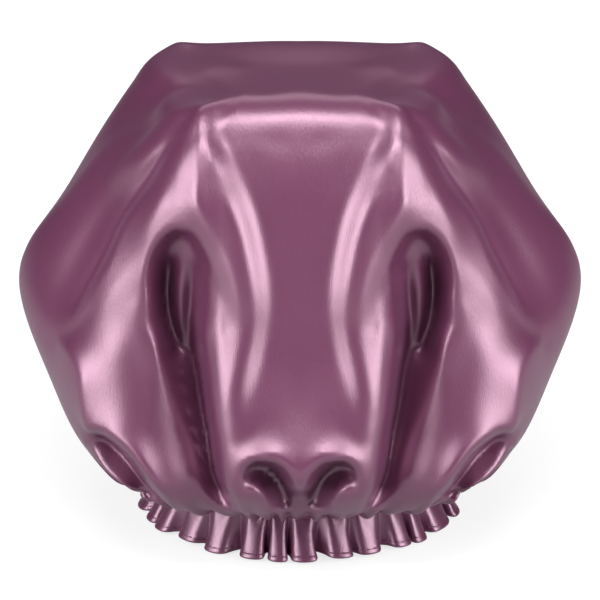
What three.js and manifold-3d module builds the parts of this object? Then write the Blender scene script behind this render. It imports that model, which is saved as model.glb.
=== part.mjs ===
// A satin hair bonnet: a double crown gathered onto an elastic band, with a fluted frill below.
// Millimetres, +Z up, the front toward -Y, the hem of the frill on the floor at z = 0.
import * as THREE from 'three';
import Module from 'manifold-3d';
import { mergeVertices } from 'three/addons/utils/BufferGeometryUtils.js';

const wasm = await Module();
wasm.setup();

// Driving sizes of the crown
const CROWN_WIDTH = 270;
const CROWN_TOP = 220;
const SATIN_THICKNESS = 1.0;
const LAYER_GAP = 0.4;

// Driving sizes of the band
const ELASTIC_RADIUS = 70;
const ELASTIC_WIDTH = 8;
const ELASTIC_THICKNESS = 1.2;
const SPLICE_LENGTH = 12;
const SPLICE_THICKNESS = 1.0;
const CHANNEL_WALL = 0.8;
const CHANNEL_CLEARANCE = 0.3;
const CHANNEL_SEAM = 0.7;
const HALF_GAP = 0.4;

// Driving sizes of the frill
const FRILL_HEIGHT = 20;
const FRILL_THICKNESS = 1.0;
const FRILL_FLARE = 4.5;
const FLUTE_COUNT = 30;
const FLUTE_DEPTH_TOP = 0.8;
const FLUTE_DEPTH_HEM = 5;

// Driving sizes of the sewing
const THREAD = 0.6;
const STITCH_INSET = 1.2;
const HEM_STITCH_HEIGHT = 2.4;
const SEAT_GAP = 0.3;

// Heights and radii that follow from them
const channelBottom = FRILL_HEIGHT + SEAT_GAP;
const cavityBottom = channelBottom + CHANNEL_SEAM;
const elasticBottom = cavityBottom + CHANNEL_CLEARANCE;
const cavityTop = elasticBottom + ELASTIC_WIDTH + CHANNEL_CLEARANCE;
const channelTop = cavityTop + CHANNEL_SEAM;
const elasticInner = ELASTIC_RADIUS - ELASTIC_THICKNESS / 2;
const elasticOuter = ELASTIC_RADIUS + ELASTIC_THICKNESS / 2;
const spliceInner = elasticInner - SEAT_GAP - SPLICE_THICKNESS;
const cavityInner = spliceInner - CHANNEL_CLEARANCE;
const cavityOuter = elasticOuter + CHANNEL_CLEARANCE;
const channelInner = cavityInner - CHANNEL_WALL;
const channelOuter = cavityOuter + CHANNEL_WALL;
const neckRadius = channelOuter + SEAT_GAP;
const neckHeight = channelTop + SEAT_GAP;

// Profiles of the crown from its centre down to the neck, at six azimuths from the front.
// Each pair is a radius in percent of half the width and a height in percent of the rise above the neck.
const PROFILE_AZIMUTHS = [0, 20, 34, 90, 140, 180];
const PROFILES = [
  [[0, 94], [28, 98], [46, 102], [56, 99], [63, 93], [69, 83], [74, 66], [80, 44], [88, 25], [91, 12], [71, -1]],
  [[0, 94], [30, 97], [50, 101], [58, 98], [65, 92], [70, 82], [76, 66], [81, 44], [89, 25], [91, 12], [73, -1]],
  [[0, 94], [31, 95], [62, 98], [68, 91], [73, 81], [78, 68], [83, 53], [88, 38], [92, 24], [91, 10], [75, -1]],
  [[0, 94], [21, 94], [41, 95], [53, 89], [68, 81], [84, 67], [96, 54], [100, 43], [92, 24], [81, 7], [67, -5]],
  [[0, 94], [37, 95], [70, 95], [79, 89], [88, 79], [96, 65], [98, 51], [99, 37], [93, 20], [81, 4], [67, -5]],
  [[0, 94], [33, 95], [63, 97], [73, 92], [82, 82], [90, 67], [96, 51], [98, 36], [93, 19], [80, 4], [67, -4]],
];

// Lines of the folds as they look from the front: steps of the view across and down from its top left
// corner, the bonnet's middle being 300 across, and a lift from the plain crown in percent of its width.
// Every line has its mirror image on the other side of the front.
const FRONT_FOLDS = [
  { name: 'rim', stations: [[300, 95, 0], [240, 98, 0.4], [220, 103, 1.1], [200, 112, 2.6]] },
  { name: 'edge of the front lobe',
    stations: [[200, 112, 2.6], [181, 137, 2.6], [151, 187, 2.8], [130, 212, 3], [105, 262, 3], [90, 290, 2.2],
      [72, 325, 0.7]] },
  { name: 'foot of the front lobe',
    stations: [[191, 115, 0], [174, 138, -1.9], [144, 187, -3], [118, 228, -3.3], [103, 258, -3.3], [74, 310, -1.9]] },
  { name: 'side of the front lobe',
    stations: [[196, 122, 3.3], [187, 140, 4.1], [166, 180, 5], [158, 200, 5], [148, 225, 4.4], [137, 250, 3.3],
      [104, 300, 2.8], [85, 325, 1.9]] },
  { name: 'crest',
    stations: [[200, 112, 2.6], [202, 140, 4.6], [212, 200, 5.6], [222, 225, 4.4], [234, 250, 3], [246, 300, 2.4],
      [248, 330, 1.9], [236, 390, 3], [234, 420, 2.2]] },
  { name: 'edge of the centre panel',
    stations: [[204, 117, 2.2], [224, 145, 1.1], [252, 200, 0.6], [264, 250, 0], [270, 300, 0], [262, 400, 0.4]] },
  { name: 'middle', stations: [[300, 150, 0], [300, 390, 0], [300, 420, 0.7], [300, 445, 1.5], [300, 470, 1]] },
  { name: 'arch',
    stations: [[137, 310, 2.2], [144, 268, 3], [152, 247, 3.7], [178, 225, 3.9], [191, 229, 3.7], [211, 262, 2.2],
      [223, 300, 1.5], [225, 330, 1.5]] },
  { name: 'left ridge',
    stations: [[137, 310, 2.2], [138, 340, 1.5], [143, 380, 0.4], [150, 420, -1.1], [172, 480, -0.7], [195, 508, -0.7]] },
  { name: 'inside of the left ridge',
    stations: [[152, 290, 1.1], [154, 330, 0], [160, 380, -1.9], [176, 420, -4.8], [191, 450, -5.2], [199, 480, -4.1],
      [210, 505, -2.2]] },
  { name: 'broad of the left lobe', stations: [[112, 345, 2.6], [112, 380, 2.2], [104, 424, 3.3]] },
  { name: 'left floor of the cleft', stations: [[168, 262, -4], [165, 290, -6], [167, 320, -7], [178, 350, -8]] },
  { name: 'floor of the cleft',
    stations: [[193, 268, -4], [192, 300, -6.5], [192, 340, -8.5], [199, 380, -10], [206, 420, -11], [211, 450, -11],
      [217, 480, -9], [226, 503, -4]] },
  { name: 'edge of the centre lobe',
    stations: [[208, 268, 0.7], [208, 300, 0.4], [206, 365, 0.4], [213, 430, -0.4], [225, 483, 0], [243, 513, 0]] },
  { name: 'side of the centre lobe', stations: [[215, 300, 1.3], [216, 380, 2.2], [222, 450, 1.1], [240, 500, 0.7]] },
  { name: 'meeting of the side folds', stations: [[40, 335, 0], [57, 341, 0], [75, 328, 0.7], [95, 312, 1.9]] },
  { name: 'hollow of the side',
    stations: [[150, 140, -2.6], [125, 168, -4.1], [102, 200, -4.8], [86, 230, -5.6], [70, 258, -5.6], [56, 285, -4.8],
      [50, 310, -3]] },
  { name: 'flap', stations: [[57, 341, 0.4], [70, 355, 2.6], [80, 380, 3.3], [85, 430, 4.8]] },
  { name: 'lip over the side pocket',
    stations: [[85, 432, 4.4], [102, 429, 4.1], [115, 437, 3.3], [132, 453, 2.2], [150, 476, 1.5], [179, 513, 0]] },
  { name: 'side pocket', stations: [[93, 446, -3], [112, 452, -6], [128, 468, -7], [147, 488, -5]] },
  { name: 'rim of the side pocket', stations: [[84, 447, 0.7], [106, 472, 0.7], [136, 495, 0.4]] },
  { name: 'lip over the hook',
    stations: [[238, 482, 1.1], [243, 466, 1.9], [264, 456, 2.6], [286, 466, 2.2], [296, 482, 0.7]] },
  { name: 'hook', stations: [[256, 470, -0.5], [268, 476, -1.5], [280, 488, -2], [284, 502, -1.5]] },
];
// Lines that the front view hides: azimuths in degrees from the front, distances from the crown's centre in
// percent of the way to the neck, and lifts.
const AROUND_FOLDS = [
  { name: 'plateau', stations: [[0, 12, 0], [45, 14, 0], [90, 10, 0], [135, 12, 0], [180, 12, 0]] },
  { name: 'outline of the side', stations: [[78, 28, 0], [84, 36, 0], [88, 45, 0], [90, 55, 1.1], [90, 62, 0], [88, 72, 0]] },
  { name: 'corner of the back rim', stations: [[139, 26, 1.9], [150, 26, 1.1], [165, 26, 0.4], [180, 26, 0]] },
  { name: 'fold behind the side', stations: [[108, 58, -0.8], [104, 74, -2.6], [100, 90, -2.4]] },
  { name: 'fold at the back corner', stations: [[136, 48, -0.8], [132, 66, -2.6], [128, 88, -2.4]] },
  { name: 'fold beside the back', stations: [[160, 52, -0.8], [162, 68, -2.2], [161, 88, -2.2]] },
];
// How far a line draws the cloth beside it, in percent of the crown's width, and how firmly
const FOLD_REACH = 20;
const LINE_STRENGTH = 4;
const NECK_FADE_PERCENT = 8;
// Folds of the front lift mostly toward this way, and the others straight out
const FRONT_WAY = new THREE.Vector3(0, -0.97, 0.24);
const FRONTAL_SHARE = 0.85;
// Front view: the distance of its eye, in crown widths, its rise in degrees, the height that it looks at,
// in crown tops, and its steps
const VIEW_DISTANCE = 4.815;
const VIEW_ELEVATION = 18;
const VIEW_TARGET = 0.477;
const VIEW_STEPS = 2677;
const VIEW_MIDDLE = 300;

// The cloth settles on a close net of columns and rows, whose columns crowd toward the front, and more so lower
// down, where the lobes draw together; the faces keep every second column, and these of its rows
const NET_COLUMNS = 192;
const NET_ROWS = 72;
const CROWDING_ABOVE = 0.32;
const CROWDING_BELOW = 0.62;
const COLUMN_STEP = 2;
const FACE_ROWS = [7, 13, 17, 20, 23, 26, 29, 32, 35, 38, 41, 44, 47, 50, 53, 56, 59, 62, 65, 68, 72];
const RING_STEPS = 40;
const STEPS_PER_FLUTE = 10;

const degrees = THREE.MathUtils.degToRad;
const ease = (t) => THREE.MathUtils.smoothstep(t, 0, 1);

// Point at a radius and a height, at an azimuth in radians measured from the front toward +X
function polar(azimuth, radius, height) {
  return new THREE.Vector3(radius * Math.sin(azimuth), -radius * Math.cos(azimuth), height);
}

const profileCurves = new Map();

// Curve of (radius, height) from the crown's centre to the neck at an azimuth in degrees
function profileCurve(azimuth) {
  const turned = Math.abs(((azimuth + 540) % 360) - 180);
  const key = turned.toFixed(4);
  if (!profileCurves.has(key)) {
    const last = PROFILE_AZIMUTHS.length - 2;
    const found = PROFILE_AZIMUTHS.findIndex((start, i) => i === last || turned < PROFILE_AZIMUTHS[i + 1]);
    const span = PROFILE_AZIMUTHS[found + 1] - PROFILE_AZIMUTHS[found];
    const mix = ease((turned - PROFILE_AZIMUTHS[found]) / span);
    const points = PROFILES[found].map(([radius, height], row) => {
      const [nextRadius, nextHeight] = PROFILES[found + 1][row];
      return new THREE.Vector3(
        THREE.MathUtils.lerp(radius, nextRadius, mix) / 100 * CROWN_WIDTH / 2,
        0,
        neckHeight + THREE.MathUtils.lerp(height, nextHeight, mix) / 100 * (CROWN_TOP - neckHeight),
      );
    });
    points.push(new THREE.Vector3(neckRadius, 0, neckHeight));
    profileCurves.set(key, new THREE.CatmullRomCurve3(points, false, 'centripetal'));
  }
  return profileCurves.get(key);
}

// Point of the crown before its folds
function plainPoint(azimuth, percent) {
  const at = profileCurve(azimuth).getPointAt(THREE.MathUtils.clamp(percent / 100, 0, 1));
  return polar(degrees(azimuth), at.x, at.z);
}

// How much the columns of the net crowd toward the front, at a percent of the way to the neck
function crowding(percent) {
  return THREE.MathUtils.lerp(CROWDING_ABOVE, CROWDING_BELOW, ease((percent - 35) / 55));
}

// Net of the crown before its folds: for each column and row its azimuth in degrees, its percent of the way
// to the neck, its point, its outward normal and the way in which folds lift it
function plainNet(columns, rows) {
  const net = Array.from({ length: columns }, (_, i) => {
    const turn = 2 * Math.PI * i / columns;
    return Array.from({ length: rows + 1 }, (__, j) => {
      const percent = 100 * j / rows;
      const azimuth = THREE.MathUtils.radToDeg(turn - crowding(percent) * Math.sin(turn));
      return { azimuth, percent, point: plainPoint(azimuth, percent) };
    });
  });
  net.forEach((column, i) => column.forEach((place, j) => {
    const down = column[Math.min(j + 1, rows)].point.clone().sub(column[Math.max(j - 1, 0)].point);
    const around = net[(i + 1) % columns][j].point.clone().sub(net[(i + columns - 1) % columns][j].point);
    place.normal = j === 0 ? new THREE.Vector3(0, 0, 1) : down.cross(around).normalize();
    place.way = place.normal.clone().lerp(FRONT_WAY, frontalShare(place)).normalize();
  }));
  return net;
}

// How far a place lifts toward the front rather than straight out
function frontalShare({ azimuth, percent }) {
  const turned = Math.abs(((azimuth + 540) % 360) - 180);
  const below = ease((percent - 20) / 12) * (1 - ease((percent - 84) / 12));
  return FRONTAL_SHARE * (1 - ease((turned - 45) / 40)) * below;
}

// Place of a point in the front view, in steps across and down, and the line of sight to it
function seenFromFront(point) {
  const elevation = degrees(VIEW_ELEVATION);
  const ahead = new THREE.Vector3(0, Math.cos(elevation), -Math.sin(elevation));
  const upward = new THREE.Vector3(0, Math.sin(elevation), Math.cos(elevation));
  const eye = new THREE.Vector3(0, 0, VIEW_TARGET * CROWN_TOP).addScaledVector(ahead, -VIEW_DISTANCE * CROWN_WIDTH);
  const sight = point.clone().sub(eye);
  const scale = VIEW_STEPS / sight.dot(ahead);
  return { across: VIEW_MIDDLE + scale * sight.x, down: VIEW_MIDDLE - scale * sight.dot(upward), sight };
}

// Azimuth, percent of the way to the neck and lift of a station that is given in the front view
function stationOnCrown(guide, [across, down, lift]) {
  let best = { miss: Infinity };
  for (const place of guide) {
    const seen = seenFromFront(place.point.clone().addScaledVector(place.way, lift / 100 * CROWN_WIDTH));
    const miss = Math.hypot(seen.across - across, seen.down - down);
    if (miss < best.miss && seen.sight.dot(place.normal) < 0) best = { miss, place };
  }
  return [360 - best.place.azimuth, best.place.percent, lift];
}

// All fold lines as close stations, each with its mirror image
function foldStations() {
  const STEPS = 24;
  const guide = plainNet(360, 180).flat().filter(({ azimuth }) => azimuth === 0 || azimuth >= 180);
  const lines = [
    ...FRONT_FOLDS.map(({ stations }) => stations.map((station) => stationOnCrown(guide, station))),
    ...AROUND_FOLDS.map(({ stations }) => stations),
  ];
  return lines.flatMap((stations) => {
    const knots = stations.map(([azimuth, percent, lift]) => new THREE.Vector3(azimuth % 360, percent, lift));
    const curve = new THREE.CatmullRomCurve3(knots, false, 'centripetal');
    const close = curve.getPoints(STEPS * (knots.length - 1));
    return close.flatMap((at) => [at, new THREE.Vector3(360 - at.x, at.y, at.z)]);
  });
}

// Column of the net, between whole columns, at an azimuth in degrees and a percent of the way to the neck
function columnAt(azimuth, percent) {
  const ROUNDS = 60;
  let turn = degrees(azimuth);
  for (let round = 0; round < ROUNDS; round += 1) turn = degrees(azimuth) + crowding(percent) * Math.sin(turn);
  return turn / (2 * Math.PI) * NET_COLUMNS;
}

const crownNet = plainNet(NET_COLUMNS, NET_ROWS);
const wrapped = (column) => (column + NET_COLUMNS) % NET_COLUMNS;

// How firmly the fold lines hold each place of the net, and the lift at which they hold it
function heldPlaces() {
  const held = crownNet.map((column) => column.map(() => ({ weight: 0, lift: 0 })));
  for (const station of foldStations()) {
    const column = columnAt(station.x, station.y);
    const row = THREE.MathUtils.clamp(station.y / 100, 0, 1) * NET_ROWS;
    for (const i of [Math.floor(column), Math.floor(column) + 1]) {
      for (const j of [Math.floor(row), Math.min(Math.floor(row) + 1, NET_ROWS)]) {
        const weight = (1 - Math.abs(column - i)) * Math.max(1 - Math.abs(row - j), 0);
        const place = held[wrapped(i)][j];
        place.lift = weight > 0 ? (place.lift * place.weight + weight * station.z) / (place.weight + weight) : place.lift;
        place.weight += weight;
      }
    }
  }
  return held;
}

// Lifts of the net in percent of the crown's width: a skin stretched between the fold lines
function settledLifts() {
  const SETTLING_ROUNDS = 300;
  const ROUNDING_ROUNDS = 8;
  const reach = FOLD_REACH / 100 * CROWN_WIDTH;
  const held = heldPlaces();
  const lifts = crownNet.map((column) => column.map(() => 0));
  const spacing = crownNet.map((column, i) => column.map(({ point }, j) => {
    const down = point.distanceTo(column[j > 0 ? j - 1 : 1].point);
    const around = Math.max(point.distanceTo(crownNet[wrapped(i + 1)][j].point), down / 4);
    return { across: down / around, along: around / down, area: down * around };
  }));
  const beside = (i, j) => spacing[i][j].across * (lifts[wrapped(i + 1)][j] + lifts[wrapped(i - 1)][j])
    + spacing[i][j].along * (lifts[i][j - 1] + lifts[i][j + 1]);
  for (let round = 0; round < SETTLING_ROUNDS + ROUNDING_ROUNDS; round += 1) {
    const rounding = round >= SETTLING_ROUNDS;
    for (let i = 0; i < NET_COLUMNS; i += 1) {
      for (let j = 1; j < NET_ROWS; j += 1) {
        const { across, along, area } = spacing[i][j];
        const whole = 2 * (across + along);
        const pull = rounding ? 0 : Math.min(held[i][j].weight, 1) * LINE_STRENGTH * whole / 4;
        const sink = rounding ? 0 : area / reach ** 2;
        const settled = (beside(i, j) + pull * held[i][j].lift) / (whole + pull + sink);
        lifts[i][j] = rounding ? (lifts[i][j] + settled) / 2 : settled;
      }
    }
  }
  return lifts;
}

const crownLifts = settledLifts();

// Point of the folded crown at a column and a row of the net, a depth below the outer face
function crownPoint(column, row, depth) {
  const { percent, point, way } = crownNet[column][row];
  const fade = ease((100 - percent) / NECK_FADE_PERCENT);
  return point.clone().addScaledVector(way, fade * crownLifts[column][row] / 100 * CROWN_WIDTH - depth);
}

// One layer of the crown: an open bag whose outer face lies a depth inside the crown's outer face
function crownLayer(depth) {
  const count = NET_COLUMNS / COLUMN_STEP;
  const points = [];
  const triangles = [];
  const faces = [depth, depth + SATIN_THICKNESS].map((faceDepth) => {
    const start = points.length;
    points.push(crownPoint(0, 0, faceDepth));
    for (const row of FACE_ROWS) {
      for (let column = 0; column < count; column += 1) points.push(crownPoint(column * COLUMN_STEP, row, faceDepth));
    }
    return start;
  });
  const at = (face, row, column) => faces[face] + 1 + row * count + (column % count);
  for (let column = 0; column < count; column += 1) {
    triangles.push([faces[0], at(0, 0, column), at(0, 0, column + 1)]);
    triangles.push([faces[1], at(1, 0, column + 1), at(1, 0, column)]);
    for (let row = 0; row + 1 < FACE_ROWS.length; row += 1) {
      const outer = [at(0, row, column), at(0, row + 1, column), at(0, row + 1, column + 1), at(0, row, column + 1)];
      const inner = [at(1, row, column), at(1, row, column + 1), at(1, row + 1, column + 1), at(1, row + 1, column)];
      triangles.push(...halves(outer, column < count / 2), ...halves(inner, column < count / 2));
    }
    const edge = FACE_ROWS.length - 1;
    const rim = [at(0, edge, column), at(1, edge, column), at(1, edge, column + 1), at(0, edge, column + 1)];
    triangles.push(...halves(rim, column < count / 2));
  }
  return indexed(points, triangles);
}

// Triangles of a four-sided face, cut along one diagonal or the other so that the two sides mirror each other
function halves([a, b, c, d], fromFirst) {
  return fromFirst ? [[a, b, c], [a, c, d]] : [[a, b, d], [b, c, d]];
}

function indexed(points, triangles) {
  const geometry = new THREE.BufferGeometry();
  geometry.setAttribute('position', new THREE.Float32BufferAttribute(points.flatMap((p) => p.toArray()), 3));
  geometry.setIndex(triangles.flat());
  geometry.computeVertexNormals();
  return geometry;
}

// Solid swept round the opening: sectionAt gives the (radius, height) corners of the section at an
// azimuth in radians, anticlockwise with the radius to the right and the height up
function sweep(azimuths, sectionAt) {
  const sections = azimuths.map((azimuth) => sectionAt(azimuth));
  const corners = sections[0].length;
  const points = sections.flatMap((section, i) => section.map(([radius, height]) => polar(azimuths[i], radius, height)));
  const triangles = [];
  for (let i = 0; i + 1 < sections.length; i += 1) {
    for (let k = 0; k < corners; k += 1) {
      const a = i * corners + k;
      const b = i * corners + (k + 1) % corners;
      triangles.push([a, a + corners, b + corners], [a, b + corners, b]);
    }
  }
  const cap = (section) => THREE.ShapeUtils.triangulateShape(section.map(([r, z]) => new THREE.Vector2(r, z)), []);
  const last = (sections.length - 1) * corners;
  cap(sections[0]).forEach(([a, b, c]) => triangles.push([a, b, c]));
  cap(sections.at(-1)).forEach(([a, b, c]) => triangles.push([last + a, last + c, last + b]));
  return indexed(points, triangles);
}

const rectangle = (inner, outer, bottom, top) => () => [[inner, bottom], [outer, bottom], [outer, top], [inner, top]];

// Azimuths over one half of the band, round a middle azimuth, short of the other half by the gap
function halfRing(middle, steps, extra = 0) {
  const reach = Math.PI / 2 - HALF_GAP / 2 / channelInner + extra;
  return Array.from({ length: steps + 1 }, (_, i) => middle + reach * (2 * i / steps - 1));
}

function manifoldOf(geometry) {
  const plain = new THREE.BufferGeometry();
  plain.setAttribute('position', geometry.getAttribute('position'));
  plain.setIndex(geometry.getIndex());
  const merged = mergeVertices(plain);
  return new wasm.Manifold(new wasm.Mesh({
    numProp: 3,
    vertProperties: new Float32Array(merged.getAttribute('position').array),
    triVerts: new Uint32Array(merged.getIndex().array),
  }));
}

function geometryOf(solid) {
  const mesh = solid.getMesh();
  const geometry = new THREE.BufferGeometry();
  geometry.setAttribute('position', new THREE.BufferAttribute(new Float32Array(mesh.vertProperties), 3));
  geometry.setIndex(new THREE.BufferAttribute(new Uint32Array(mesh.triVerts), 1));
  geometry.computeVertexNormals();
  return geometry;
}

// Half of the sewn tunnel that the elastic runs in
function channelHalf(middle) {
  const TUNNEL_OVERRUN = 0.05;
  const outside = sweep(halfRing(middle, RING_STEPS), rectangle(channelInner, channelOuter, channelBottom, channelTop));
  const tunnel = sweep(
    halfRing(middle, RING_STEPS, TUNNEL_OVERRUN),
    rectangle(cavityInner, cavityOuter, cavityBottom, cavityTop),
  );
  return geometryOf(manifoldOf(outside).subtract(manifoldOf(tunnel)));
}

// Outward swing of the frill: flutes of uneven width, broad outside and pinched inside
function fluteWave(azimuth) {
  const WANDER = 0.9;
  const PINCH = 0.6;
  const phase = FLUTE_COUNT * azimuth + WANDER * Math.sin(3 * azimuth) + WANDER * Math.sin(7 * azimuth + 1);
  const strength = 0.8 + 0.2 * Math.sin(5 * azimuth + 2);
  return strength * (2 * ((1 + Math.sin(phase)) / 2) ** PINCH - 1);
}

// Radius of the middle of the frill's cloth at an azimuth and a height
function frillRadius(azimuth, height) {
  const drop = 1 - height / FRILL_HEIGHT;
  const seamRadius = (channelInner + channelOuter) / 2;
  const depth = THREE.MathUtils.lerp(FLUTE_DEPTH_TOP, FLUTE_DEPTH_HEM, drop);
  return seamRadius + FRILL_FLARE * drop + depth * fluteWave(azimuth);
}

function frillHalf(middle) {
  const heights = [0, FRILL_HEIGHT / 2, FRILL_HEIGHT];
  return sweep(halfRing(middle, FLUTE_COUNT / 2 * STEPS_PER_FLUTE), (azimuth) => {
    const outer = heights.map((height) => [frillRadius(azimuth, height) + FRILL_THICKNESS / 2, height]);
    const inner = heights.map((height) => [frillRadius(azimuth, height) - FRILL_THICKNESS / 2, height]);
    return [...outer, ...inner.reverse()];
  });
}

// Thread of the hem, lying along the outer face of the frill
function hemStitchHalf(middle) {
  return sweep(halfRing(middle, FLUTE_COUNT / 2 * STEPS_PER_FLUTE), (azimuth) => {
    const low = HEM_STITCH_HEIGHT - THREAD / 2;
    const high = HEM_STITCH_HEIGHT + THREAD / 2;
    const seat = Math.max(frillRadius(azimuth, low), frillRadius(azimuth, high)) + FRILL_THICKNESS / 2 + SEAT_GAP;
    return rectangle(seat, seat + THREAD, low, high)();
  });
}

// Thread of one row of the channel, lying along its outer face
function bandStitchHalf(middle, height) {
  const seat = channelOuter + SEAT_GAP;
  return sweep(halfRing(middle, RING_STEPS), rectangle(seat, seat + THREAD, height - THREAD / 2, height + THREAD / 2));
}

function elasticHalf(middle) {
  const section = rectangle(elasticInner, elasticOuter, elasticBottom, elasticBottom + ELASTIC_WIDTH);
  return sweep(halfRing(middle, RING_STEPS), section);
}

// Lapped end of the elastic, inside the back of the loop
function elasticSplice() {
  const STEPS = 4;
  const reach = SPLICE_LENGTH / 2 / ELASTIC_RADIUS;
  const azimuths = Array.from({ length: STEPS + 1 }, (_, i) => Math.PI + reach * (2 * i / STEPS - 1));
  const section = rectangle(spliceInner, spliceInner + SPLICE_THICKNESS, elasticBottom, elasticBottom + ELASTIC_WIDTH);
  return sweep(azimuths, section);
}

const satin = new THREE.MeshStandardMaterial({ color: 0x8a5673, roughness: 0.38, metalness: 0.4 });
const liningSatin = new THREE.MeshStandardMaterial({ color: 0x8a5673, roughness: 0.45, metalness: 0.3 });
const rubber = new THREE.MeshStandardMaterial({ color: 0xe8e4df, roughness: 0.8, metalness: 0 });
const thread = new THREE.MeshStandardMaterial({ color: 0x75455f, roughness: 0.6, metalness: 0 });

const bonnet = new THREE.Group();

function add(name, geometry, material) {
  const mesh = new THREE.Mesh(geometry, material);
  mesh.name = name;
  bonnet.add(mesh);
}

add('outer_crown', crownLayer(0), satin);
add('lining', crownLayer(SATIN_THICKNESS + LAYER_GAP), liningSatin);
add('elastic_splice', elasticSplice(), rubber);
for (const [half, middle] of [['front', 0], ['back', Math.PI]]) {
  add(`channel_${half}`, channelHalf(middle), satin);
  add(`elastic_${half}`, elasticHalf(middle), rubber);
  add(`frill_${half}`, frillHalf(middle), satin);
  add(`upper_stitch_${half}`, bandStitchHalf(middle, channelTop - STITCH_INSET), thread);
  add(`lower_stitch_${half}`, bandStitchHalf(middle, channelBottom + STITCH_INSET), thread);
  add(`hem_stitch_${half}`, hemStitchHalf(middle), thread);
}

export default bonnet;
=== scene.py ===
"""Looks of the satin hair bonnet: its gathered crown, lining, elastic band, frill and stitching."""

import math

import bpy
import numpy as np
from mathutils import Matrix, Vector


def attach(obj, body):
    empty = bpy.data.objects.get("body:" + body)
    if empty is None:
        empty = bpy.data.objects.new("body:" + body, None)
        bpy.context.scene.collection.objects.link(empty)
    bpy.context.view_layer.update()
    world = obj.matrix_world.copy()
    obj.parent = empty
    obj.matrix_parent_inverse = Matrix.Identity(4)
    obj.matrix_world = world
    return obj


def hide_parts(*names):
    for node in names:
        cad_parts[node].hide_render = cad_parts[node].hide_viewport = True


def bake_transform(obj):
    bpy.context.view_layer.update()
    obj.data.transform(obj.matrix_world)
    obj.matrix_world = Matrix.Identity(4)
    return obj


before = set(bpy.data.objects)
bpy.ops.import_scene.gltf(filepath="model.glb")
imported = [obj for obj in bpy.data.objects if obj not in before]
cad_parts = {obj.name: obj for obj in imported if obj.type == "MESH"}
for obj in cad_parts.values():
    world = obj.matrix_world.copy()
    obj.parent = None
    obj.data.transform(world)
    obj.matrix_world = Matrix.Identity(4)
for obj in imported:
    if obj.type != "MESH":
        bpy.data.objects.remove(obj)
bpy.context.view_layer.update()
MM = 0.001
TINY = 1e-9

BACK = "crown_and_back_band"

# Sizes in millimetres, the same as those of the solids
CROWN_WIDTH = 270
CROWN_TOP = 220
NECK_RADIUS = 72.0
NECK_HEIGHT = 30.6
CHANNEL_BOTTOM = 20.3
CHANNEL_TOP = 30.3
CHANNEL_INNER = 67.0
CHANNEL_OUTER = 71.7
ELASTIC_INNER = 69.4
ELASTIC_OUTER = 70.6
ELASTIC_BOTTOM = 21.3
ELASTIC_TOP = 29.3
SPLICE_INNER = 68.1
SPLICE_OUTER = 69.1
SPLICE_LENGTH = 12
SEAM_RADIUS = 69.4
FRILL_HEIGHT = 20
FRILL_FLARE = 4.5
FLUTE_COUNT = 30
FLUTE_DEPTH_TOP = 0.8
HEM_STITCH_HEIGHT = 2.4
STITCH_INSET = 1.2

# Cloth, elastic and thread, in millimetres
SATIN_THICKNESS = 0.9
LINING_DEPTH = 1.9
LINING_THICKNESS = 0.7
CUT_RADIUS = 290
FRILL_THICKNESS = 0.9
HEM_THICKNESS = 1.3
FLUTE_DEPTH_HEM = 6.2
FLUTE_BREADTH = 1.8
FLUTE_SPREAD = 1.2
FLUTE_SKEW = 2.4
HEM_CLEARANCE = 0.6
HEM_RISE = 0.9
HEM_CURL = 1.0
HEM_MARGIN = 0.6
STITCH_DENT = 0.2
SEAM_GATHER_DEPTH = 0.5
CHANNEL_WALL = 0.6
CHANNEL_SWELL_ACROSS = 0.1
CHANNEL_SWELL_UP = 0.6
GATHER_DEPTH = 0.5
RIB_PITCH = 0.9
RIB_DEPTH = 0.1
THREAD_RADIUS = 0.24
STITCH_LENGTH = 2.3
STITCH_PITCH = 3.1

# Powers that square off the channel's round section
CHANNEL_POWER_ACROSS = 0.45
CHANNEL_POWER_UP = 0.7
# A stitch in shares of its thread's radius: its least end, how far it rises and how deep its ends sink
THREAD_END_SHARE = 0.08
STITCH_RISE_SHARE = 0.9
STITCH_SINK_SHARE = 0.2

# Hem in shares of the frill's drop: where its stitches run, how fast its cloth doubles and where it ends
STITCHED_DROP = 1 - HEM_STITCH_HEIGHT / FRILL_HEIGHT
STITCH_DENT_SHARE = 0.012
HEM_STEP_SHARE = 0.03
HEM_END_SHARE = 1.004
PLAIN_DROPS = np.linspace(0, 0.82, 14)
HEM_DROPS = (0.845, 0.865, STITCHED_DROP, 0.895, 0.92, 0.95, 0.97, 0.985, 0.995, 1)

# Waves round the band, each with a size, a count and a shift: how the flutes wander from even places, how
# their strength varies, how the gathers wander from the flutes, and what a gather is made of
FLUTE_WANDER = ((0.9, 3, 0), (0.9, 7, 1), (0.6, 13, 2))
FLUTE_STRENGTH = 0.75
FLUTE_VARIATION = ((0.15, 5, 2), (0.1, 11, 0))
FLUTE_BROADNESS = 0.5
GATHERS_PER_FLUTE = 2
GATHER_WANDER = ((1.3, 11, 0),)
GATHER_PARTS = ((0.7, 1, 0), (0.3, 1.5, 2))
# Share of a gather's depth that is left at the channel's seams
GATHER_AT_SEAM = 0.45

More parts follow.
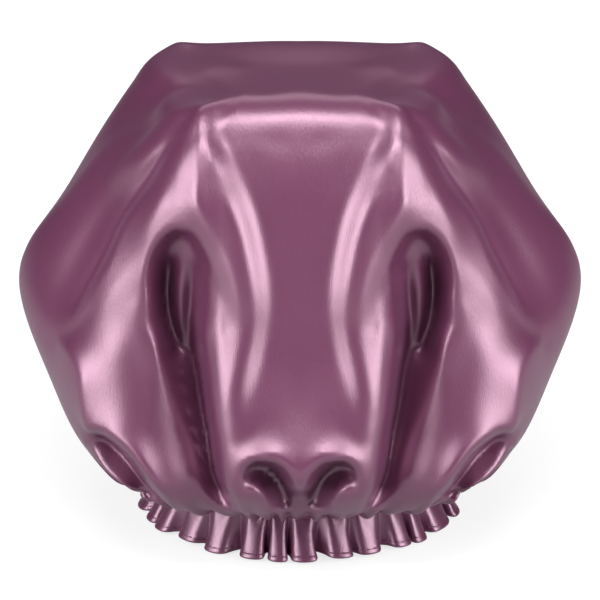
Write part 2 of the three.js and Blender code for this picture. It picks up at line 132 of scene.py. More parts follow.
# Profiles of the crown from its centre down to the neck, at six azimuths from the front.
# Each pair is a radius in percent of half the width and a height in percent of the rise above the neck.
PROFILE_AZIMUTHS = (0, 20, 34, 90, 140, 180)
PROFILES = (
    (
        (0, 94), (28, 98), (46, 102), (56.5, 99.5), (63.5, 92.8), (69.3, 82.5), (74, 66), (80, 44),
        (88, 25), (91, 12), (71, -1),
    ),
    (
        (0, 94), (30, 97), (50, 101), (58.5, 98.7), (65.2, 91.8), (70, 81.5), (76, 66), (81, 44),
        (89, 25), (91, 12), (73, -1),
    ),
    (
        (0, 94), (31, 95), (62, 98), (68, 91), (72.5, 81), (77.5, 68), (83, 53), (88, 38), (92, 24),
        (91, 10), (75, -1),
    ),
    (
        (0, 94), (21, 94), (41, 95), (53, 89), (68, 81), (84, 67), (96, 54), (100, 43), (92, 24),
        (81, 7), (67, -5),
    ),
    (
        (0, 94), (37, 95), (70, 95), (79, 89), (88, 79), (96, 65), (98, 51), (99, 37), (93, 20),
        (81, 4), (67, -5),
    ),
    (
        (0, 94), (33, 95), (63, 97), (73, 92), (82, 82), (90, 67), (96, 51), (98, 36), (93, 19),
        (80, 4), (67, -4),
    ),
)

# Lines of the folds as they look from the front, in steps of the view across and down from its top left
# corner; the bonnet's middle is 300 across. Each has a rounding in mm, and stations with a lift in mm from
# the plain crown. Every line has its mirror image.
FRONT_FOLDS = {
    "foot of the rim": (3, [(228, 121, 3.6), (240, 126, 2.5), (260, 137, 1), (280, 145, 0), (300, 149, 0)]),
    "left of the crest": (2, [
        (200, 112, 7), (199, 125, 8.5), (198, 150, 12), (197, 180, 14.4), (197, 200, 15.7),
        (205, 222, 13.2), (222, 250, 9), (233, 275, 7.8), (240, 300, 7), (242, 330, 5.5), (236, 360, 7),
        (230, 385, 7.5), (226, 410, 6)]),
    "above the lip": (4, [(240, 440, 4), (262, 428, 3), (285, 432, 4)]),
    "hollow of the side": (6, [
        (126, 182, -8), (112, 204, -9), (100, 224, -10), (88, 246, -10), (74, 274, -9), (62, 300, -5)]),
    "side of the centre lobe": (3, [
        (215, 300, 3.5), (217, 340, 5), (216, 380, 6), (217, 420, 4), (222, 450, 3), (230, 478, 3),
        (240, 500, 2)]),
    "broad of the left lobe": (5, [(112, 345, 6), (113, 380, 4.5), (110, 410, 6), (108, 424, 8)]),
    "inside of the left ridge": (2, [
        (159, 243, 8), (151, 260, 6.5), (149, 280, 4.8), (151, 302, 3), (157, 332, -2), (165, 380, -9),
        (181, 420, -14), (196, 450, -17), (203, 480, -13.5), (212, 505, -7)]),
    "side of the front lobe": (3, [
        (200, 112, 7), (195, 125, 7.8), (190, 135, 8.3), (184, 145, 9), (176, 165, 11.2),
        (167, 182, 12.5), (158, 200, 13.5), (148, 225, 12), (137, 250, 9), (122, 275, 8),
        (104, 300, 7.5), (85, 325, 5)]),
    "rim": (2, [(300, 95, 0), (270, 95, 0), (240, 98, 1), (220, 103, 3), (208, 108, 5), (200, 112, 7)]),
    "edge of the front lobe": (2, [
        (200, 112, 7), (190, 124, 6.5), (175, 147, 6.5), (163, 165, 7), (151, 187, 8), (142, 200, 8.5),
        (130, 212, 8.5), (118, 232, 8.5), (105, 262, 8.5), (90, 290, 6.5), (72, 325, 2)]),
    "foot of the front lobe": (2, [
        (191, 115, 1), (175, 137, -3), (161, 158, -5), (147, 183, -8), (137, 198, -10), (124, 220, -11),
        (110, 248, -11), (95, 275, -10), (78, 306, -5)]),
    "crest": (3, [
        (205, 128, 8.5), (210, 150, 11), (222, 180, 10.2), (227, 200, 11.3), (238, 225, 9.5),
        (246, 250, 7.5), (251, 275, 6.8), (253, 300, 6), (254, 330, 5), (249, 360, 6), (240, 390, 7),
        (234, 420, 6), (232, 450, 4.5), (236, 470, 4)]),
    "edge of the centre panel": (4, [
        (216, 133, 4.4), (224, 145, 3), (236, 165, 2), (252, 200, 1.5), (264, 250, 0), (270, 300, 0),
        (266, 340, 0), (258, 375, 1.5), (252, 400, 3), (248, 425, 4), (246, 448, 5)]),
    "middle": (5, [
        (300, 150, 0), (300, 200, 0), (300, 300, 0), (300, 390, 0), (300, 420, 2), (300, 445, 6)]),
    "arch": (1.5, [
        (137, 310, 4), (138, 295, 5), (144, 268, 8), (152, 247, 10), (163, 233, 10.5), (178, 225, 10.5),
        (191, 229, 10), (201, 243, 8), (211, 262, 6), (219, 282, 5), (223, 300, 4), (225, 330, 4)]),
    "left ridge": (3, [
        (137, 310, 4.5), (138, 340, 1), (142, 380, -3), (149, 420, -5), (157, 450, -5), (171, 480, -4),
        (194, 508, -3)]),
    "inside of the arch": (2, [
        (160, 282, -9), (163, 262, -7), (171, 248, -5), (180, 240, -3), (188, 241, -3), (196, 252, -5),
        (203, 268, -7)]),
    "fold inside the cleft": (2.5, [
        (190, 242, -3), (186, 255, -6), (181, 275, -10), (178, 300, -15), (180, 325, -23),
        (186, 345, -30)]),
    "left floor of the cleft": (2.5, [(168, 262, -18), (165, 290, -26), (167, 320, -31), (178, 350, -35)]),
    "floor of the cleft": (2, [
        (193, 268, -13), (192, 300, -24), (192, 340, -33), (199, 380, -36), (206, 420, -37),
        (211, 450, -35), (217, 480, -27), (226, 503, -11)]),
    "edge of the centre lobe": (1.8, [
        (208, 268, 2), (208, 300, 1), (204, 340, 1), (206, 365, 1), (209, 400, 0), (213, 430, -1),
        (218, 460, -1), (225, 483, 0), (234, 503, 1), (243, 513, 0)]),
    "meeting of the side folds": (1.5, [(36, 338, 0), (57, 341, -1), (75, 326, 1), (95, 311, 5)]),
    "flap": (1.5, [(57, 341, 0), (70, 355, 8), (80, 380, 11.5), (83, 408, 12.5), (85, 430, 13)]),
    "lip over the side pocket": (1.6, [
        (85, 432, 12.5), (93, 428, 12), (102, 429, 11), (115, 437, 9), (132, 453, 6), (150, 476, 4),
        (165, 497, 2), (179, 513, 0)]),
    "under the lip": (1.5, [
        (90, 436, 0), (100, 436, -8), (112, 443, -15), (128, 459, -18), (145, 481, -15), (159, 500, -8),
        (172, 512, -3)]),
    "floor of the side pocket": (2, [
        (93, 446, -8), (103, 456, -16), (116, 468, -20), (131, 482, -18), (147, 496, -9)]),
    "rim of the side pocket": (1.2, [
        (84, 447, 2), (94, 460, 2), (106, 472, 2), (120, 484, 2), (136, 495, 1), (150, 504, 0)]),
    "lip over the hook": (1.5, [
        (238, 482, 4), (243, 466, 6), (252, 459, 8), (264, 456, 9), (280, 460, 9), (292, 472, 8),
        (298, 490, 6)]),
    "hook": (2, [(246, 478, -4), (256, 468, -10), (268, 470, -18), (279, 480, -24), (283, 500, -16)]),
    "tongue in the hook": (1.5, [(252, 488, 1), (260, 492, 0), (266, 503, 0), (268, 515, 0)]),
}
# Lines that the front view hides: azimuths in degrees from the front, and distances from the crown's centre
# in percent of the way to the neck.
AROUND_FOLDS = {
    "ridge of the back": (3, [(172, 50, 1), (173, 64, 4), (174, 80, 5), (174, 92, 3)]),
    "ridge at the back": (3, [(146, 42, 1), (148, 60, 4), (147, 78, 5), (145, 92, 3)]),
    "ridge behind the side": (3, [(116, 50, 1), (118, 66, 4), (117, 80, 5), (114, 92, 3)]),
    "plateau": (6, [(0, 12, 0), (45, 14, 0), (90, 10, 0), (135, 12, 0), (180, 12, 0)]),
    "outline of the side": (4, [
        (78, 28, 0), (84, 36, 0), (88, 45, 0), (90, 55, 3), (90, 62, 0), (88, 72, 0)]),
    "fold across the shoulder": (6, [(36, 29.5, 2), (42.5, 32, 3), (52, 34, 3), (62, 36, 0)]),
    "fold above the shoulder": (6, [(44, 26, -3), (55, 28.5, -4), (68, 31, -2)]),
    "fold on the top": (4, [(91.5, 17, 1), (126.5, 15, 5), (150, 16.5, 1)]),
    "corner of the back rim": (1, [(139, 26, 6), (140, 29, 6)]),
    "back rim": (2, [(139, 26, 6), (150, 26, 3), (165, 26, 1), (180, 26, 0)]),
    "fold behind the side": (3, [(110, 50, -2), (106, 62, -6), (103, 76, -10), (100, 90, -9)]),
    "fold at the back corner": (3, [(138, 42, -2), (135, 56, -7), (132, 72, -11), (128, 90, -10)]),
    "fold beside the back": (3, [(156, 44, -2), (160, 58, -6), (162, 72, -10), (161, 90, -9)]),
}
FOLD_REACH = 55
PLAIN_ROUNDING = 3
LARGEST_ROUNDING = 6
LEAST_ROUNDING_SHARE = 0.15
LINE_STRENGTH = 4
LINE_POINTS = 160
LIFT_STRIDES = (8, 4, 2, 1)
LIFT_ROUNDS = 90
# Near the crown's centre, columns count as no closer than this share of the gap between rows
CLOSEST_COLUMNS = 0.25
# Folds of the front lift mostly toward this way, and the others straight out. The way holds up to an azimuth
# in degrees and between two distances from the centre in percent, and fades beyond them.
FRONT_WAY = (0, -0.97, 0.24)
FRONTAL_SHARE = 0.85
FRONTAL_AZIMUTH = 45
FRONTAL_AZIMUTH_FADE = 40
FRONTAL_FROM = 20
FRONTAL_TO = 84
FRONTAL_FADE = 12
# Front view: its eye's distance, height above level in degrees, the height that it looks at, and its steps
VIEW_DISTANCE = 1300
VIEW_ELEVATION = 18
VIEW_TARGET = 105
VIEW_STEPS = 2677
VIEW_MIDDLE = 300
# A station of that view goes to the point which looks nearest to it, where the place before the lift counts
# by a share and a hidden point is ruled out; the margin keeps the middle in the left half
PLAIN_PLACE_SHARE = 0.3
HIDDEN_MISS = 1000
MIDDLE_MARGIN = 0.01
NECK_FADE_PERCENT = 8

# Gathers of the crown above the elastic
NECK_GATHER_DEPTH = 3.2
NECK_GATHER_PERCENT = 20

CROWN_COLUMNS = 464
CROWN_ROWS = 161
GUIDE_COLUMNS = 480
GUIDE_ROWS = 260
FRILL_COLUMNS = 720
BAND_COLUMNS = 480
SECTION_POINTS = 48
ELASTIC_COLUMNS = 240
ELASTIC_ROWS = 40
SPLICE_COLUMNS = 13
FRONT_CROWDING = 0.35
# The crown is level at its centre and takes its profile from this radius on
LEVEL_RADIUS = 40

# Satin's gloss and sheen, and its grain along the warp and across it, per metre
SATIN_GLOSS = {
    "Metallic": 0.38,
    "IOR": 1.65,
    "Specular IOR Level": 1,
    "Coat Weight": 0.3,
    "Coat Roughness": 0.45,
    "Sheen Weight": 0.08,
    "Sheen Roughness": 0.3,
    "Sheen Tint": (0.85, 0.5, 0.85, 1),
}
WARP_SCALE = (1500, 500, 1)
SATIN_COLOR = (0.16, 0.036, 0.097)
LINING_COLOR = (0.25, 0.085, 0.17)
ELASTIC_COLOR = (0.72, 0.69, 0.7)
THREAD_COLOR = (0.15, 0.045, 0.1)

# Floor: its grey under the lamps, and the white that it adds, from below the bonnet to far away in metres
FLOOR_WIDTH = 8
FLOOR_GREY = (0.3, 0.3, 0.3, 1)
FLOOR_NEAR = 0.15
FLOOR_FAR = 0.9
FLOOR_WHITE_NEAR = 0.75
# How bright that white is in the satin's gloss, as a share of how the camera sees it
FLOOR_IN_GLOSS = 0.25
WORLD_LIGHT = 0.03

# Lamps: azimuth and elevation in degrees, distance, width and height in metres, and power in watts
LAMPS = {
    "left_soft_box": (-53, 20, 0.87, 0.5, 0.75, 8.4),
    "right_soft_box": (53, 20, 0.87, 0.5, 0.75, 8.4),
    "top_soft_box": (0, 62, 1.3, 0.9, 0.4, 12),
    "back_soft_box": (180, 55, 1.3, 1.2, 0.5, 3),
}
LAMP_TARGET = Vector((0, 0, 0.1))
CAMERA_LENS = 160.6
CAMERA_SENSOR = 36


def ease(t):
    """Smooth step from 0 at t = 0 to 1 at t = 1."""
    t = np.clip(t, 0, 1)
    return t * t * (3 - 2 * t)


def polar(azimuth, radius, height):
    """Points at radii and heights, at azimuths in radians from the front toward +X."""
    return np.stack(np.broadcast_arrays(radius * np.sin(azimuth), -radius * np.cos(azimuth), height), -1)


def smooth_line(points, count):
    """count points evenly spaced along a centripetal Catmull-Rom curve through points."""
    steps = 24
    p = np.asarray(points, float)
    p = np.vstack([2 * p[0] - p[1], p, 2 * p[-1] - p[-2]])
    pieces = []
    for i in range(1, len(p) - 2):
        apart = np.linalg.norm(np.diff(p[i - 1:i + 3], axis=0), axis=1)
        knots = np.r_[0, np.cumsum(np.sqrt(np.maximum(apart, TINY)))]
        t = np.linspace(knots[1], knots[2], steps, endpoint=False)[:, None]
        level = [p[k] for k in range(i - 1, i + 3)]
        for order in range(1, 4):
            level = [
                _between(level[k], level[k + 1], *_span(knots, k, order), t) for k in range(len(level) - 1)
            ]
        pieces.append(level[0])
    line = np.vstack(pieces + [p[-2:-1]])
    length = np.r_[0, np.cumsum(np.linalg.norm(np.diff(line, axis=0), axis=1))]
    at = np.linspace(0, length[-1], count)
    return np.stack([np.interp(at, length, line[:, k]) for k in range(line.shape[1])], 1)


def _span(knots, k, order):
    """Ends of the blend of two neighbouring points in the pyramid of a Catmull-Rom curve."""
    if order == 1:
        return knots[k], knots[k + 1]
    if order == 2:
        return knots[k], knots[k + 2]
    return knots[1], knots[2]


def _between(a, b, start, end, t):
    """Blend of a at start and b at end."""
    share = (t - start) / (end - start)
    return a * (1 - share) + b * share


def crown_profile(azimuth, count):
    """count points (radius, height) from the crown's centre to the neck at an azimuth in radians."""
    turned = abs(math.degrees(azimuth))
    k = min(int(np.searchsorted(PROFILE_AZIMUTHS, turned, "right")) - 1, len(PROFILE_AZIMUTHS) - 2)
    mix = ease((turned - PROFILE_AZIMUTHS[k]) / (PROFILE_AZIMUTHS[k + 1] - PROFILE_AZIMUTHS[k]))
    percent = np.array(PROFILES[k]) * (1 - mix) + np.array(PROFILES[k + 1]) * mix
    points = np.stack([
        percent[:, 0] / 100 * CROWN_WIDTH / 2,
        NECK_HEIGHT + percent[:, 1] / 100 * (CROWN_TOP - NECK_HEIGHT),
    ], 1)
    line = smooth_line(np.vstack([points, (NECK_RADIUS, NECK_HEIGHT)]), count)
    line[:, 1] = line[0, 1] + (line[:, 1] - line[0, 1]) * ease(line[:, 0] / LEVEL_RADIUS)
    return line


class PlainCrown:
    """Grid of points and outward normals of the crown before its folds, and the ways in which they lift."""

    def __init__(self, columns, rows):
        turn = np.linspace(-math.pi, math.pi, columns, endpoint=False)
        self.azimuth = turn - FRONT_CROWDING * np.sin(turn)
        self.percent = np.linspace(0, 100, rows)
        self.points = np.zeros((columns, rows, 3))
        for i, azimuth in enumerate(self.azimuth):
            profile = crown_profile(azimuth, rows)
            self.points[i] = polar(azimuth, profile[:, 0], profile[:, 1])
        self.normals = grid_normals(self.points)
        self.normals[:, 0] = (0, 0, 1)
        turned = np.abs(np.degrees(self.azimuth))
        ahead = 1 - ease((turned - FRONTAL_AZIMUTH) / FRONTAL_AZIMUTH_FADE)
        entering = ease((self.percent - FRONTAL_FROM) / FRONTAL_FADE)
        leaving = ease((self.percent - FRONTAL_TO) / FRONTAL_FADE)
        frontal = FRONTAL_SHARE * ahead[:, None] * (entering * (1 - leaving))[None, :]
        ways = self.normals + frontal[..., None] * (np.array(FRONT_WAY) - self.normals)
        self.ways = ways / np.linalg.norm(ways, axis=2, keepdims=True)

    def columns_and_rows(self, degrees, percent):
        """Places in the grid, between its columns and rows, of azimuths and distances from the centre."""
        columns, rows = self.points.shape[:2]
        wrapped = np.r_[self.azimuth, self.azimuth[0] + 2 * math.pi]
        column = np.interp(np.radians(degrees), wrapped, np.arange(columns + 1))
        return column, np.clip(np.asarray(percent) / 100, 0, 1) * (rows - 1)


def seen_from_front(points):
    """Places of points in the front view, in its steps across and down, and the sight lines to them."""
    elevation = math.radians(VIEW_ELEVATION)
    ahead = np.array((0, math.cos(elevation), -math.sin(elevation)))
    upward = np.array((0, math.sin(elevation), math.cos(elevation)))
    sight = points - (np.array((0, 0, VIEW_TARGET)) - VIEW_DISTANCE * ahead)
    depth = sight @ ahead
    across = VIEW_MIDDLE + VIEW_STEPS * sight[..., 0] / depth
    down = VIEW_MIDDLE - VIEW_STEPS * (sight @ upward) / depth
    return across, down, sight


def stations_on_crown(guide, stations):
    """Azimuths, distances from the centre and lifts of stations that are given in the front view."""
    found = []
    left = guide.azimuth <= MIDDLE_MARGIN
    points, normals, azimuth = guide.points[left], guide.normals[left], guide.azimuth[left]
    plain_x, plain_y, _ = seen_from_front(points)
    for across, down, lift in stations:
        x, y, sight = seen_from_front(points + lift * guide.ways[left])
        behind = (sight * normals).sum(2) > 0
        moved = np.hypot(plain_x - across, plain_y - down)
        miss = np.hypot(x - across, y - down) + PLAIN_PLACE_SHARE * moved + HIDDEN_MISS * behind
        i, j = np.unravel_index(np.argmin(miss), miss.shape)
        found.append((math.degrees(azimuth[i]), guide.percent[j], lift))
    return found


def fold_lines(guide):
    """All fold lines and their mirror images, as azimuths, distances, lifts and roundings of close points."""
    lines = [(rounding, stations_on_crown(guide, stations)) for rounding, stations in FRONT_FOLDS.values()]
    lines += list(AROUND_FOLDS.values())
    pieces = []
    for rounding, stations in lines:
        line = smooth_line(stations, LINE_POINTS)
        for side in (-1, 1):
            pieces.append(np.c_[side * np.abs(line[:, 0]), line[:, 1:], np.full(len(line), rounding)])
    return np.vstack(pieces)


def line_marks(crown, lines, stride):
    """How firmly the lines hold each point of every stride-th column and row, and its lift and rounding."""
    columns, rows = crown.points.shape[0] // stride, (crown.points.shape[1] - 1) // stride + 1
    column, row = crown.columns_and_rows(lines[:, 0], lines[:, 1])
    column, row = column / stride, row / stride
    held = np.zeros((columns, rows, 3))
    for i in (0, 1):
        for j in (0, 1):
            near_column, near_row = np.floor(column).astype(int) + i, np.floor(row).astype(int) + j
            weight = (1 - np.abs(column - near_column)) * (1 - np.abs(row - near_row))
            entry = weight[:, None] * np.c_[np.ones(len(lines)), lines[:, 2:]]
            np.add.at(held, (near_column % columns, np.minimum(near_row, rows - 1)), entry)
    firm = held[..., 0]
    return np.minimum(firm, 1) * LINE_STRENGTH, held[..., 1:] / np.maximum(firm, TINY)[..., None]


def gaps(points):
    """Weights of a grid's columns and rows for a skin stretched over it, and the area round each point."""
    around = np.linalg.norm(np.roll(points, -1, 0) - np.roll(points, 1, 0), axis=2) / 2
    down = np.linalg.norm(np.gradient(points, axis=1), axis=2)
    around = np.maximum(around, CLOSEST_COLUMNS * down)
    return (down / around)[..., None], (around / down)[..., None], (around * down)[..., None]


def neighbours(field, across, along):
    """Weighted sum of the four neighbours of each point of a grid."""
    above = np.concatenate([field[:, :1], field[:, :-1]], 1)
    below = np.concatenate([field[:, 1:], field[:, -1:]], 1)
    return across * (np.roll(field, 1, 0) + np.roll(field, -1, 0)) + along * (above + below)


def fold_lifts(crown, lines):
    """Lift of each point of the crown: a skin stretched between the lines that sinks back away from them."""
    field = None
    for stride in LIFT_STRIDES:
        firm, held = line_marks(crown, lines, stride)
        held = held - (0, PLAIN_ROUNDING)
        if field is None:
            field = np.zeros_like(held)
        else:
            field = np.repeat(field, 2, 0)
            field[1::2] = (field[::2] + np.roll(field[::2], -1, 0)) / 2
            finer = np.repeat(field, 2, 1)[:, :-1]
            finer[:, 1::2] = (field[:, :-1] + field[:, 1:]) / 2
            field = finer
        across, along, area = gaps(crown.points[::stride, ::stride])
        whole = 2 * across + 2 * along
        pull = (firm * whole[..., 0] / 4)[..., None]
        for _ in range(LIFT_ROUNDS):
            field = (neighbours(field, across, along) + pull * held) / (whole + pull + area / FOLD_REACH ** 2)
            field[:, 0] = field[:, 0].mean(0)
            field[:, -1] = 0
    lift = field[..., :1]
    share = np.clip((PLAIN_ROUNDING + field[..., 1:]) / LARGEST_ROUNDING, LEAST_ROUNDING_SHARE, 1) ** 2
    step = math.sqrt(area.mean())
    for _ in range(int(2 * (LARGEST_ROUNDING / step) ** 2)):
        lift = lift + share * (neighbours(lift, across, along) / whole - lift)
    return lift


def folded(crown, guide):
    """Points of the crown with all its folds, which die away at the neck."""
    fade = ease((100 - crown.percent) / NECK_FADE_PERCENT)[:, None]
    return crown.points + fold_lifts(crown, fold_lines(guide)) * crown.ways * fade


def waves(turn, parts):
    """Sum of sine waves at a turn in radians, each given by a size, a count and a shift."""
    return sum(size * np.sin(count * turn + shift) for size, count, shift in parts)


def flute_phase(azimuth):
    """How far round its cycle the flute at an azimuth is, in radians."""
    return FLUTE_COUNT * azimuth + waves(azimuth, FLUTE_WANDER)


def flute_strength(azimuth):
    """Share of their full size that the flutes have at an azimuth."""
    return FLUTE_STRENGTH + waves(azimuth, FLUTE_VARIATION)


def flute_wave(azimuth):
    """Outward wave of the frill, from a narrow pleat at -1 to a broad flute at 1."""
    swing = ((1 + np.sin(flute_phase(azimuth))) / 2) ** FLUTE_BROADNESS
    return flute_strength(azimuth) * (2 * swing - 1)


def gather_wave(azimuth):
    """Outward wave of the small gathers beside the elastic, from -1 to 1."""
    phase = GATHERS_PER_FLUTE * flute_phase(azimuth) + waves(azimuth, GATHER_WANDER)
    return waves(phase, GATHER_PARTS)


def turns(columns):
    """Azimuths in radians of evenly spaced columns."""
    return np.linspace(-math.pi, math.pi, columns, endpoint=False)


def grid_normals(points):
    """Outward normals of a grid of points whose columns go round and whose rows go down."""
    around = np.roll(points, -1, 0) - np.roll(points, 1, 0)
    normals = np.cross(np.gradient(points, axis=1), around)
    return normals / np.maximum(np.linalg.norm(normals, axis=2, keepdims=True), TINY)


def mesh_object(name, points, faces, material, cloth=None, length=None):
    """Object of points in mm; cloth gives each point's place on the flat cloth, length where it joins up."""
    mesh = bpy.data.meshes.new(name)
    mesh.from_pydata((np.asarray(points) * MM).tolist(), [], faces)
    mesh.polygons.foreach_set("use_smooth", np.ones(len(mesh.polygons), bool))
    mesh.materials.append(material)
    mesh.validate()
    if cloth is not None:
        corners = np.zeros(len(mesh.loops), int)
        mesh.loops.foreach_get("vertex_index", corners)
        places = np.asarray(cloth)[corners] * MM
        if length is not None:
            quads = places.reshape(-1, 4, 2)
            far = quads[:, :, 0].max(1, keepdims=True) - quads[:, :, 0] > length * MM / 2
            quads[:, :, 0] += far * length * MM
        mesh.uv_layers.new(name="cloth").data.foreach_set("uv", places.ravel())
    piece = bpy.data.objects.new(name, mesh)
    bpy.context.scene.collection.objects.link(piece)
    return piece


def ring_faces(columns, rows, first, inward=False, closed=False):
    """Quads of a grid whose columns go round, and whose rows go down or, where closed, round a section."""
    faces = []
    for i in range(columns):
        k = (i + 1) % columns
        for j in range(rows if closed else rows - 1):
            m = (j + 1) % rows
            face = (first + i * rows + j, first + i * rows + m, first + k * rows + m, first + k * rows + j)
            faces.append(face[::-1] if inward else face)
    return faces


def bag_faces(columns, rows, apex, inward=False):
    """Faces of a round bag: a fan at its centre, then rows of quads; its first ring follows the apex."""
    fan = [(apex, apex + 1 + i * rows, apex + 1 + (i + 1) % columns * rows) for i in range(columns)]
    return [face[::-1] if inward else face for face in fan] + ring_faces(columns, rows, apex + 1, inward)


def bag_shell(name, outer, inner, material, places):
    """Closed shell of cloth: an outer face, an inner face of as many columns or fewer, and a neck edge."""
    columns, rows = outer.shape[0], outer.shape[1] - 1
    inner_columns, inner_rows = inner.shape[0], inner.shape[1] - 1
    share, row_share = columns // inner_columns, rows // inner_rows
    points = np.vstack([outer[0, :1], outer[:, 1:].reshape(-1, 3), inner[0, :1], inner[:, 1:].reshape(-1, 3)])
    inner_places = places[::share, ::row_share]
    cloth = np.vstack([
        places[0, :1], places[:, 1:].reshape(-1, 2), inner_places[0, :1], inner_places[:, 1:].reshape(-1, 2)])
    apex = 1 + columns * rows
    faces = bag_faces(columns, rows, 0) + bag_faces(inner_columns, inner_rows, apex, True)
    for i in range(inner_columns):
        edge = [1 + (share * i + k) % columns * rows + rows - 1 for k in range(share + 1)]
        here, there = (apex + 1 + (i + k) % inner_columns * inner_rows + inner_rows - 1 for k in range(2))
        faces += [(a, here, b) for a, b in zip(edge, edge[1:])] + [(edge[-1], here, there)]
    return mesh_object(name, points, faces, material, cloth)


def crown_and_lining():
    """Outer crown and its lining, which follows the crown's inside."""
    crown = PlainCrown(CROWN_COLUMNS, CROWN_ROWS)
    outer = folded(crown, PlainCrown(GUIDE_COLUMNS, GUIDE_ROWS))
    gathers = NECK_GATHER_DEPTH * gather_wave(crown.azimuth)[:, None]
    fade = ease((crown.percent - 100 + NECK_GATHER_PERCENT) / NECK_GATHER_PERCENT)
    outer = outer + (gathers * fade)[..., None] * crown.ways
    places = polar(crown.azimuth[:, None], CUT_RADIUS * crown.percent / 100, 0)[..., :2]
    coarse, ways = outer[::2, ::2], crown.ways[::2, ::2]
    satin_crown = bag_shell("satin_crown", outer, coarse - SATIN_THICKNESS * ways, SATIN, places)
    satin_lining = bag_shell(
        "satin_lining", coarse - LINING_DEPTH * ways, coarse - (LINING_DEPTH + LINING_THICKNESS) * ways,
        LINING_SATIN, places[::2, ::2])
    return satin_crown, satin_lining


def frill_middle(azimuth, drop):
    """Points midway through the frill's cloth, at azimuths and shares of the way down to the hem."""
    wave = flute_wave(azimuth)
    phase = flute_phase(azimuth)
    depth = FLUTE_DEPTH_TOP + (FLUTE_DEPTH_HEM - FLUTE_DEPTH_TOP) * drop
    radius = SEAM_RADIUS + FRILL_FLARE * drop + depth * wave
    radius = radius + SEAM_GATHER_DEPTH * np.sin(GATHERS_PER_FLUTE * phase + 1) * (1 - drop) ** 2
    radius = radius + HEM_CURL * drop ** 4 * np.maximum(wave, 0)
    spread = -flute_strength(azimuth) * (FLUTE_BREADTH * np.cos(phase) + FLUTE_SPREAD * np.sin(2 * phase))
    skew = FLUTE_SKEW * np.sin(3 * azimuth + 1) * wave
    raised = 1 + np.sin(4 * azimuth + 1) * np.sin(9 * azimuth)
    height = FRILL_HEIGHT * (1 - drop) + HEM_CLEARANCE + HEM_RISE * raised * drop
    return polar(azimuth + (spread + skew) * drop / SEAM_RADIUS, radius, height)


def frill_half_thickness(drop):
    """Half the thickness of the frill's cloth, doubled at the hem and drawn in along the hem's stitches."""
    hem = 1 - (HEM_STITCH_HEIGHT + HEM_MARGIN) / FRILL_HEIGHT
    doubled = ease((drop - hem) / HEM_STEP_SHARE)
    half = (FRILL_THICKNESS + (HEM_THICKNESS - FRILL_THICKNESS) * doubled) / 2
    half = half * np.sqrt(np.clip((HEM_END_SHARE - drop) / HEM_STEP_SHARE, 0, 1))
    return half - STITCH_DENT * np.exp(-((drop - STITCHED_DROP) / STITCH_DENT_SHARE) ** 2)


def frill_and_hem():
    """Frill with its rolled hem, and the stitches along the hem."""
    azimuth = turns(FRILL_COLUMNS)
    drop = np.r_[PLAIN_DROPS, HEM_DROPS]
    middle = frill_middle(azimuth[:, None], drop[None, :])
    normals = grid_normals(middle)
    half = frill_half_thickness(drop)[None, :, None]
    rows = len(drop)
    points = np.vstack([(middle + half * normals).reshape(-1, 3), (middle - half * normals).reshape(-1, 3)])
    first = FRILL_COLUMNS * rows
    faces = ring_faces(FRILL_COLUMNS, rows, 0) + ring_faces(FRILL_COLUMNS, rows, first, inward=True)
    for i in range(FRILL_COLUMNS):
        k = (i + 1) % FRILL_COLUMNS
        for row, way in ((0, 1), (rows - 1, -1)):
            rim = (i * rows + row, k * rows + row, first + k * rows + row, first + i * rows + row)
            faces.append(rim[::way])
    hem = middle[:, -1]
    along = np.r_[0, np.cumsum(np.linalg.norm(np.diff(hem, axis=0), axis=1))]
    length = along[-1] + np.linalg.norm(hem[0] - hem[-1])
    cloth = np.stack(np.broadcast_arrays(along[:, None], FRILL_HEIGHT * drop[None, :]), -1).reshape(-1, 2)
    frill = mesh_object("satin_frill", points, faces, SATIN, np.vstack([cloth, cloth]), length)
    row = len(PLAIN_DROPS) + HEM_DROPS.index(STITCHED_DROP)
    face = middle[:, row] + frill_half_thickness(STITCHED_DROP) * normals[:, row]
    return frill, stitch_row("hem_stitches", face, normals[:, row])


def channel_section(inset):
    """Radii and heights round the channel's section, inset from its outer face."""
    turn = np.linspace(0, 2 * math.pi, SECTION_POINTS, endpoint=False)
    across, upright = np.cos(turn + math.pi / 2), np.sin(turn + math.pi / 2)
    half_width = (CHANNEL_OUTER - CHANNEL_INNER) / 2 + CHANNEL_SWELL_ACROSS - inset
    half_height = (CHANNEL_TOP - CHANNEL_BOTTOM) / 2 + CHANNEL_SWELL_UP - inset
    inward = np.sign(across) * np.abs(across) ** CHANNEL_POWER_ACROSS
    upward = np.sign(upright) * np.abs(upright) ** CHANNEL_POWER_UP
    radius = (CHANNEL_OUTER + CHANNEL_INNER) / 2 - half_width * inward
    height = (CHANNEL_TOP + CHANNEL_BOTTOM) / 2 + half_height * upward
    return radius[::-1], height[::-1]


